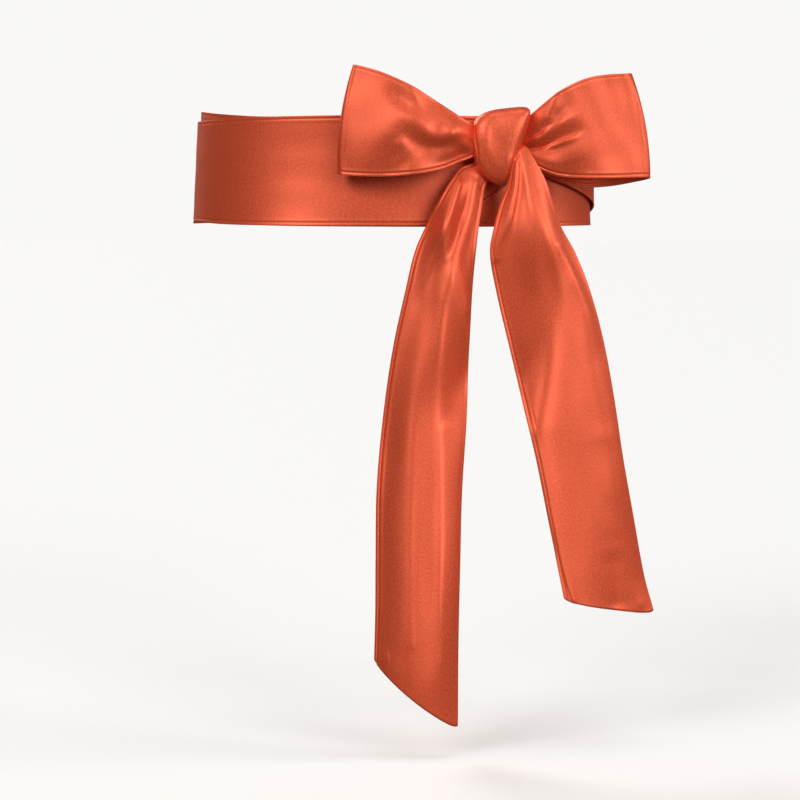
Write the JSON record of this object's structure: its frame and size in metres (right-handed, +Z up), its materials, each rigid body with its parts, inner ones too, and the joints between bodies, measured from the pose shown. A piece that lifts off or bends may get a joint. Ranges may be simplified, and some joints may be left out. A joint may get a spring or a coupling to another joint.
{
  "type": "satin sash",
  "caption": "Wide satin waist sash, wound double round the waist and tied off centre in a bow with hanging tails cut on the slant.",
  "frame": {"origin": "on the axis of the waist that the sash is wound round, half way up the band", "axes": "+Z up along the body, -Y towards the front, where the bow is, +X to the viewer's right as one faces the bow"},
  "size_m": [0.3243, 0.2629, 0.4497],
  "materials": {
    "satin_ribbon": "bright burnt orange satin with a soft sheen"
  },
  "bodies": {
    "root": {"first_turn": "satin_ribbon", "wrap_left": "satin_ribbon", "wrap_right": "satin_ribbon", "left_loop": "satin_ribbon", "right_loop": "satin_ribbon", "knot": "satin_ribbon", "left_tail": "satin_ribbon", "right_tail": "satin_ribbon"}
  },
  "joints": []
}
